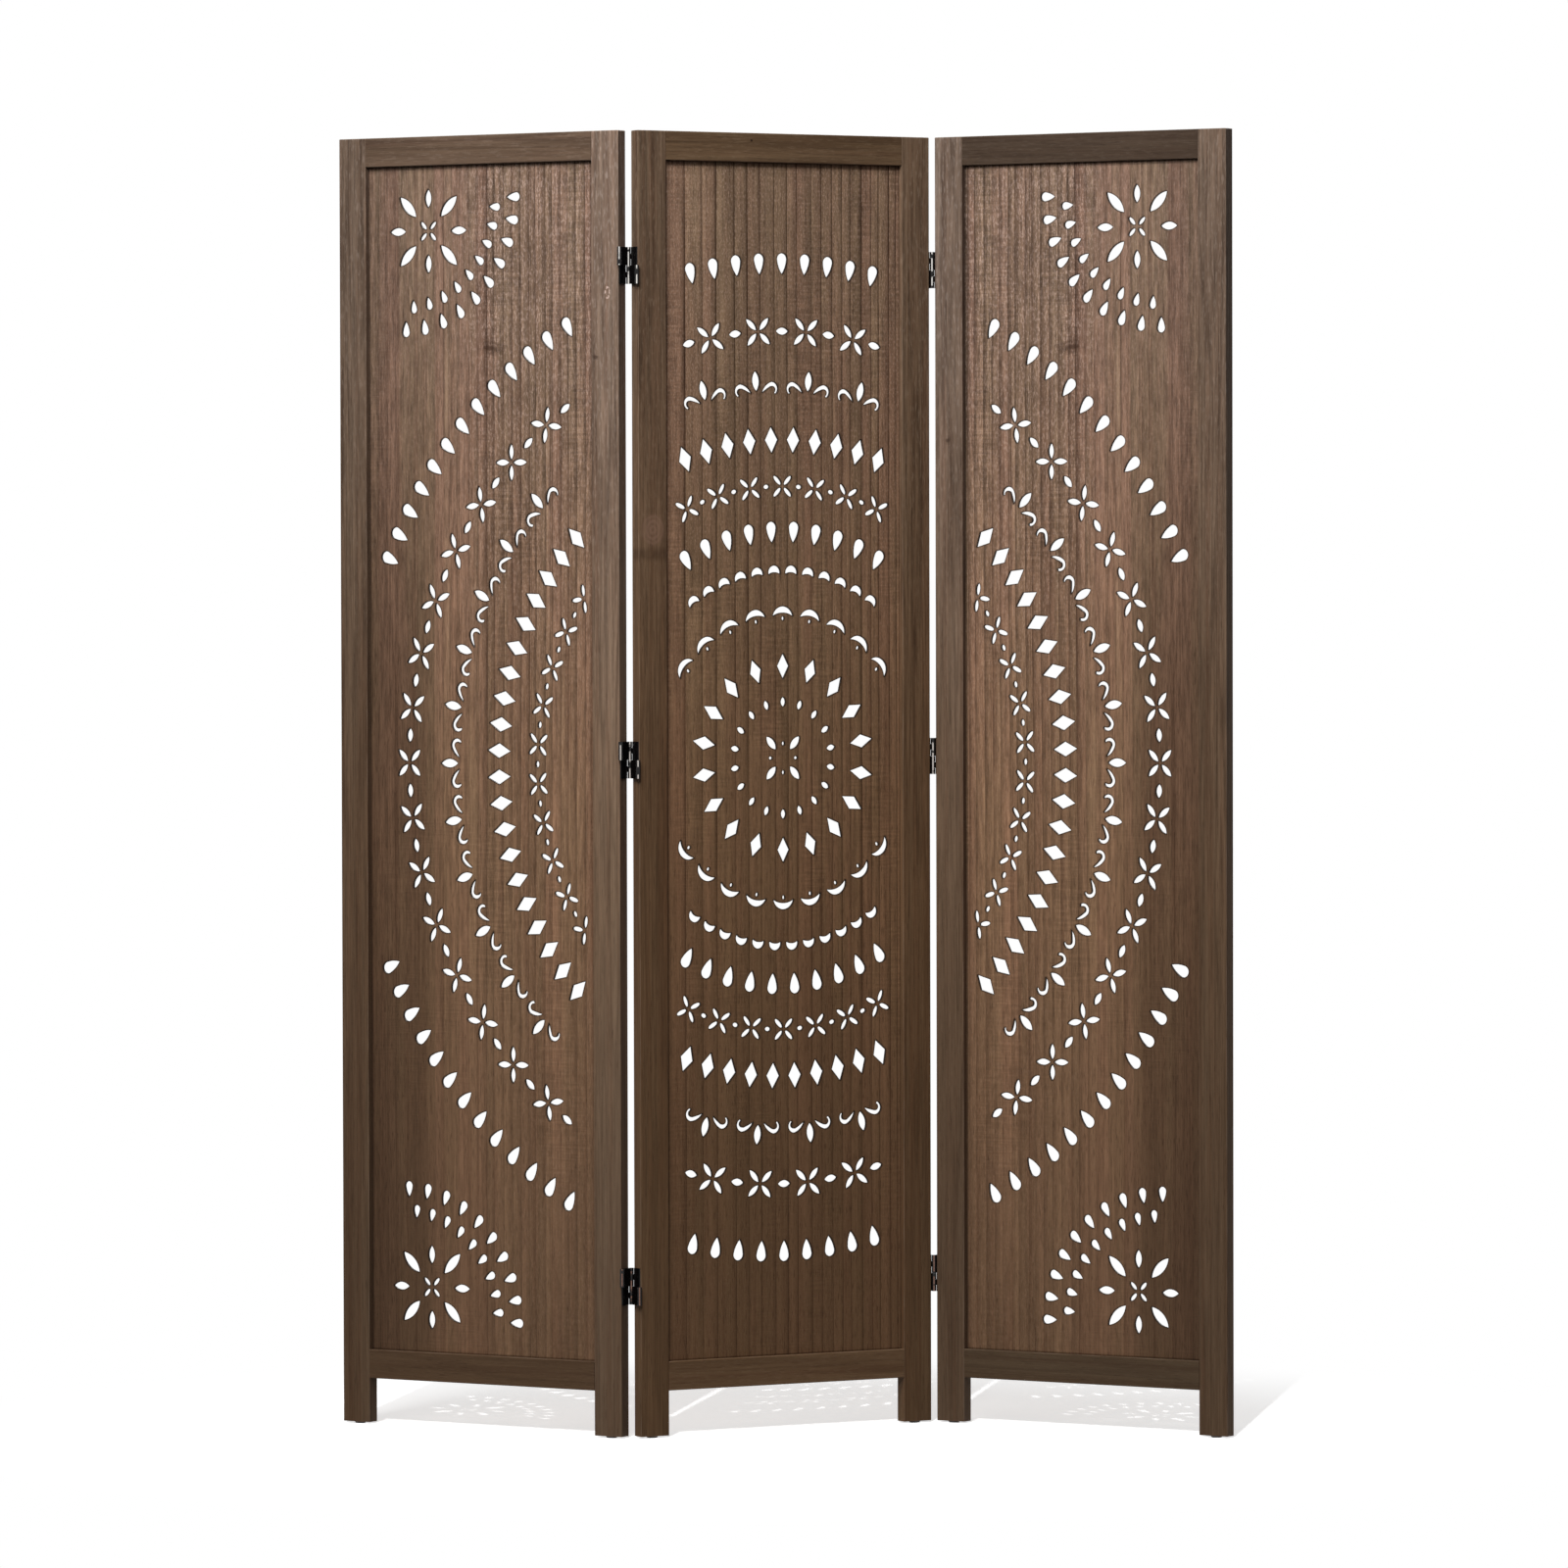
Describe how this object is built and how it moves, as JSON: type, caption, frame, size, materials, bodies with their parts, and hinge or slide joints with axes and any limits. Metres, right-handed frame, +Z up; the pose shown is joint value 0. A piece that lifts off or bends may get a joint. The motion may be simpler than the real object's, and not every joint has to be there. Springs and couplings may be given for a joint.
{
  "type": "folding screen",
  "caption": "Freestanding folding screen: framed wooden panels hinged in a zigzag, each with a thin board cut through with rings of petals, drops, diamonds and crescents.",
  "frame": {"origin": "on the floor under the middle of the middle panel, which is also the middle of the zigzag", "axes": "+Z up, +X to the viewer's right along the spread of the panels, +Y to the back"},
  "size_m": [1.1728, 0.2546, 1.7],
  "materials": {
    "frame_wood": "dark brown stain, matt, open grain, worn light on the edges",
    "board_wood": "dark brown stain, matt, upright grain, scorched dark inside the cuts",
    "dowel_wood": "bare pale wood",
    "hinges": "black gloss",
    "pins": "black gloss",
    "screws": "black",
    "glides": "matt, scuffed"
  },
  "bodies": {
    "middle_panel": {"left_joint_bottom_hinge_lower_link": "hinges", "left_joint_bottom_hinge_right_leaf": "hinges", "left_joint_middle_hinge_lower_link": "hinges", "left_joint_middle_hinge_right_leaf": "hinges", "left_joint_middle_panel_pins": "pins", "left_joint_middle_panel_screws": "screws", "left_joint_top_hinge_lower_link": "hinges", "left_joint_top_hinge_right_leaf": "hinges", "middle_panel_bottom_rail": "frame_wood", "middle_panel_carved_board": "board_wood", "middle_panel_dowels": "dowel_wood", "middle_panel_glides": "glides", "middle_panel_left_stile": "frame_wood", "middle_panel_right_stile": "frame_wood", "middle_panel_top_rail": "frame_wood", "right_joint_bottom_hinge_left_leaf": "hinges", "right_joint_bottom_hinge_lower_link": "hinges", "right_joint_middle_hinge_left_leaf": "hinges", "right_joint_middle_hinge_lower_link": "hinges", "right_joint_middle_panel_pins": "pins", "right_joint_middle_panel_screws": "screws", "right_joint_top_hinge_left_leaf": "hinges", "right_joint_top_hinge_lower_link": "hinges"},
    "left_panel": {"left_joint_bottom_hinge_left_leaf": "hinges", "left_joint_bottom_hinge_upper_link": "hinges", "left_joint_left_panel_pins": "pins", "left_joint_left_panel_screws": "screws", "left_joint_middle_hinge_left_leaf": "hinges", "left_joint_middle_hinge_upper_link": "hinges", "left_joint_top_hinge_left_leaf": "hinges", "left_joint_top_hinge_upper_link": "hinges", "left_panel_bottom_rail": "frame_wood", "left_panel_carved_board": "board_wood", "left_panel_dowels": "dowel_wood", "left_panel_glides": "glides", "left_panel_left_stile": "frame_wood", "left_panel_right_stile": "frame_wood", "left_panel_top_rail": "frame_wood"},
    "right_panel": {"right_joint_bottom_hinge_right_leaf": "hinges", "right_joint_bottom_hinge_upper_link": "hinges", "right_joint_middle_hinge_right_leaf": "hinges", "right_joint_middle_hinge_upper_link": "hinges", "right_joint_right_panel_pins": "pins", "right_joint_right_panel_screws": "screws", "right_joint_top_hinge_right_leaf": "hinges", "right_joint_top_hinge_upper_link": "hinges", "right_panel_bottom_rail": "frame_wood", "right_panel_carved_board": "board_wood", "right_panel_dowels": "dowel_wood", "right_panel_glides": "glides", "right_panel_left_stile": "frame_wood", "right_panel_right_stile": "frame_wood", "right_panel_top_rail": "frame_wood"}
  },
  "joints": [
    {"name": "left_fold", "type": "hinge", "parent": "middle_panel", "child": "left_panel", "pos_m": [-0.19681, -0.10543, 0.85], "axis": [0, 0, -1], "range_deg": [-62, 118]},
    {"name": "right_fold", "type": "hinge", "parent": "middle_panel", "child": "right_panel", "pos_m": [0.19681, 0.10543, 0.85], "axis": [0, 0, -1], "range_deg": [-62, 118]}
  ]
}
